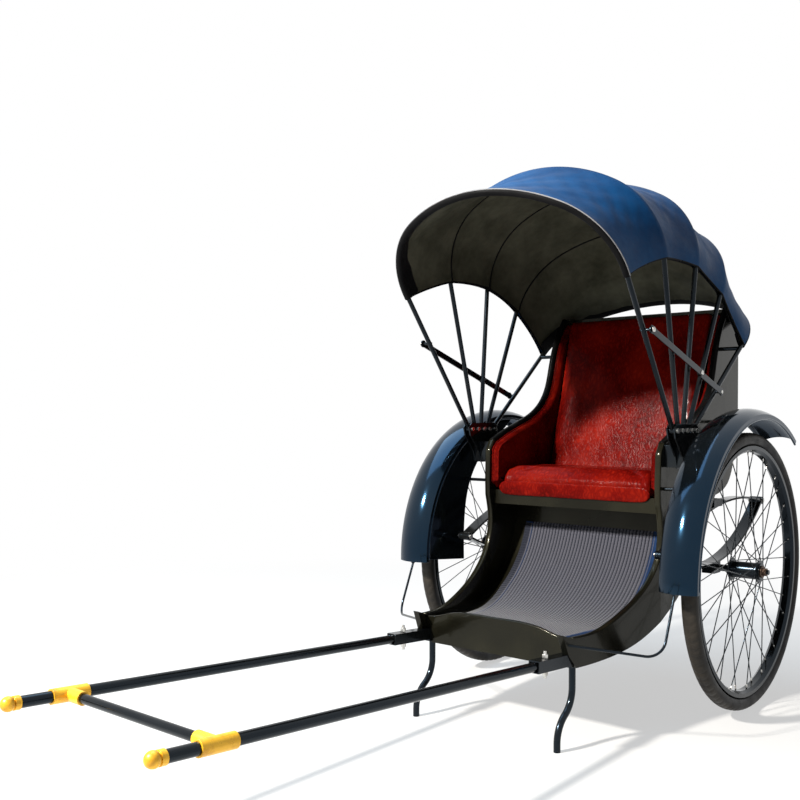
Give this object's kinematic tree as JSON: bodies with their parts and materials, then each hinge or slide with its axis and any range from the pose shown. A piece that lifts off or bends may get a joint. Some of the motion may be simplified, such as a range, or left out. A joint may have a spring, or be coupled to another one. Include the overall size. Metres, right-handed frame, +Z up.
{
  "type": "pulled rickshaw",
  "caption": "Hand-pulled two-wheeled rickshaw with wire wheels, a padded seat, curved footwell, fenders, pull shafts and a folding bow hood.",
  "frame": {"origin": "on the ground, at the middle of the length and width", "axes": "+Z up, -Y towards the pull shafts, +X to the passenger's left"},
  "size_m": [1.012, 2.32, 1.5569],
  "materials": {
    "tyre": "matte",
    "wheel_paint": "gloss",
    "gilt": "gloss",
    "bright_steel": "satin",
    "canopy_cloth": "satin",
    "carpet": "matte",
    "red_leather": "gloss",
    "lacquered_wood": "gloss",
    "black_paint": "gloss"
  },
  "bodies": {
    "carriage": {"arm_pad_left": "red_leather", "arm_pad_right": "red_leather", "axle": "black_paint", "axle_nuts": "bright_steel", "back_board": "lacquered_wood", "back_pad": "red_leather", "back_panel": "lacquered_wood", "ball_ends": "gilt", "canopy_4": "canopy_cloth", "carpet": "carpet", "cross_bar": "black_paint", "dash_board": "lacquered_wood", "fender_left": "black_paint", "fender_right": "black_paint", "fender_stay_left": "black_paint", "fender_stay_right": "black_paint", "fender_ties": "black_paint", "floor_board": "lacquered_wood", "floor_irons": "black_paint", "hood_bolts": "bright_steel", "hood_bow_5": "black_paint", "hood_bracket_left": "black_paint", "hood_bracket_right": "black_paint", "hood_props": "black_paint", "leg_left": "black_paint", "leg_right": "black_paint", "seat_board": "lacquered_wood", "seat_cushion": "red_leather", "seat_rail": "lacquered_wood", "shaft_left": "black_paint", "shaft_right": "black_paint", "shaft_sockets": "black_paint", "shaft_tees": "gilt", "side_panel_left": "lacquered_wood", "side_panel_right": "lacquered_wood", "socket_bolts": "bright_steel", "spring_bearer": "black_paint", "spring_bolts": "bright_steel", "spring_lower_left": "black_paint", "spring_lower_right": "black_paint", "spring_upper_left": "black_paint", "spring_upper_right": "black_paint"},
    "wheel_left": {"tyre_left": "tyre", "rim_left": "wheel_paint", "hub_left": "wheel_paint"},
    "wheel_right": {"tyre_right": "tyre", "rim_right": "wheel_paint", "hub_right": "wheel_paint"},
    "bow_1": {"hood_bow_1": "black_paint"},
    "bow_2": {"hood_bow_2": "black_paint", "canopy_1": "canopy_cloth"},
    "bow_3": {"hood_bow_3": "black_paint", "canopy_2": "canopy_cloth"},
    "bow_4": {"hood_bow_4": "black_paint", "canopy_3": "canopy_cloth"},
    "stay_front": {"stay_front": "black_paint"},
    "stay_rear": {"stay_rear": "black_paint"}
  },
  "joints": [
    {"name": "wheel_left_turn", "type": "hinge", "parent": "carriage", "child": "wheel_left", "pos_m": [0.439, 0.76, 0.4], "axis": [1, 0, 0], "continuous": true},
    {"name": "wheel_right_turn", "type": "hinge", "parent": "carriage", "child": "wheel_right", "pos_m": [-0.439, 0.76, 0.4], "axis": [1, 0, 0], "continuous": true},
    {"name": "hood_fold", "type": "hinge", "parent": "carriage", "child": "bow_1", "pos_m": [0, 0.473, 0.807], "axis": [-1, 0, 0], "range_deg": [0, 74.1], "deforming": ["canopy_1", "canopy_2", "canopy_3", "canopy_4"]},
    {"name": "bow_2_fold", "type": "hinge", "parent": "carriage", "child": "bow_2", "pos_m": [0, 0.50425, 0.807], "axis": [-1, 0, 0], "range_deg": [0, 55.28]},
    {"name": "bow_3_fold", "type": "hinge", "parent": "carriage", "child": "bow_3", "pos_m": [0, 0.5355, 0.807], "axis": [-1, 0, 0], "range_deg": [0, 38.25]},
    {"name": "bow_4_fold", "type": "hinge", "parent": "carriage", "child": "bow_4", "pos_m": [0, 0.56675, 0.807], "axis": [-1, 0, 0], "range_deg": [0, 22.43]},
    {"name": "stay_front_turn", "type": "hinge", "parent": "bow_1", "child": "stay_front", "pos_m": [0, 0.27954, 1.0694], "axis": [1, 0, 0], "range_deg": [0, 26.53]},
    {"name": "stay_rear_turn", "type": "hinge", "parent": "carriage", "child": "stay_rear", "pos_m": [0, 0.73828, 0.91819], "axis": [1, 0, 0], "range_deg": [0, 132.43]}
  ],
  "couplings": [
    {"joint": "bow_2_fold", "follows": "hood_fold", "ratio": 0.74602},
    {"joint": "bow_3_fold", "follows": "hood_fold", "ratio": 0.51619},
    {"joint": "bow_4_fold", "follows": "hood_fold", "ratio": 0.3027},
    {"joint": "stay_front_turn", "follows": "hood_fold", "ratio": 0.35803},
    {"joint": "stay_rear_turn", "follows": "hood_fold", "ratio": 1.7872}
  ]
}
